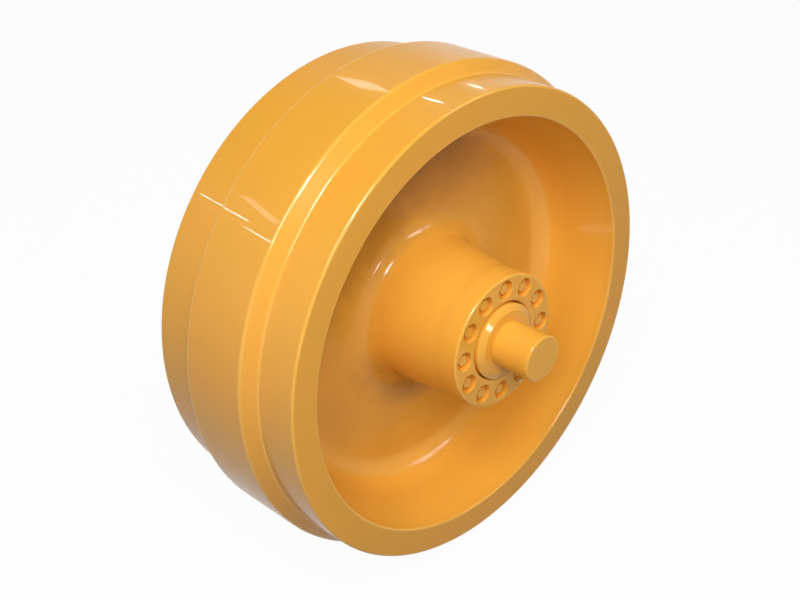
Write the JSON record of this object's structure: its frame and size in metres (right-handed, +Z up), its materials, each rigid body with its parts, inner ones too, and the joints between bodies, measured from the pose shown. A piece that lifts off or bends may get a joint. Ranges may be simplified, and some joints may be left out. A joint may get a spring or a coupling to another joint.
{
  "type": "track idler",
  "caption": "Track idler wheel with a raised centre guide flange, dished web and tapered hub, turning freely on a fixed stepped axle with bolted bearing carriers and seal collars.",
  "frame": {"origin": "middle of the wheel, on the axle axis", "axes": "+Y along the axle towards the end with the oil plug, +Z up; the end seen in the picture is towards -Y"},
  "size_m": [0.903, 0.61, 0.9028],
  "materials": {
    "idler_paint": "glossy orange-yellow machine paint",
    "bushing_bronze": "machined bearing bronze",
    "lapped_seal_iron": "cast iron with a lapped sealing face",
    "seal_rubber": "black nitrile rubber",
    "hardened_steel": "ground hardened steel",
    "plug_copper": "annealed copper"
  },
  "bodies": {
    "axle": {"axle": "idler_paint", "seal_collar_near": "idler_paint", "seal_collar_far": "idler_paint", "fixed_seal_ring_near": "lapped_seal_iron", "fixed_seal_ring_far": "lapped_seal_iron", "fixed_seal_rubber_near": "seal_rubber", "fixed_seal_rubber_far": "seal_rubber", "collar_ring_near": "seal_rubber", "collar_ring_far": "seal_rubber", "lock_pin_near": "hardened_steel", "lock_pin_far": "hardened_steel", "oil_plug": "idler_paint", "oil_plug_washer": "plug_copper"},
    "wheel": {"wheel_casting": "idler_paint", "bearing_carrier_near": "idler_paint", "bearing_carrier_far": "idler_paint", "carrier_screws_near": "idler_paint", "carrier_screws_far": "idler_paint", "bushing_near": "bushing_bronze", "bushing_far": "bushing_bronze", "carrier_ring_near": "seal_rubber", "carrier_ring_far": "seal_rubber", "rotating_seal_ring_near": "lapped_seal_iron", "rotating_seal_ring_far": "lapped_seal_iron", "rotating_seal_rubber_near": "seal_rubber", "rotating_seal_rubber_far": "seal_rubber"}
  },
  "joints": [
    {"name": "wheel_spin", "type": "hinge", "parent": "axle", "child": "wheel", "pos_m": [0, 0, 0], "axis": [0, 1, 0], "continuous": true}
  ]
}
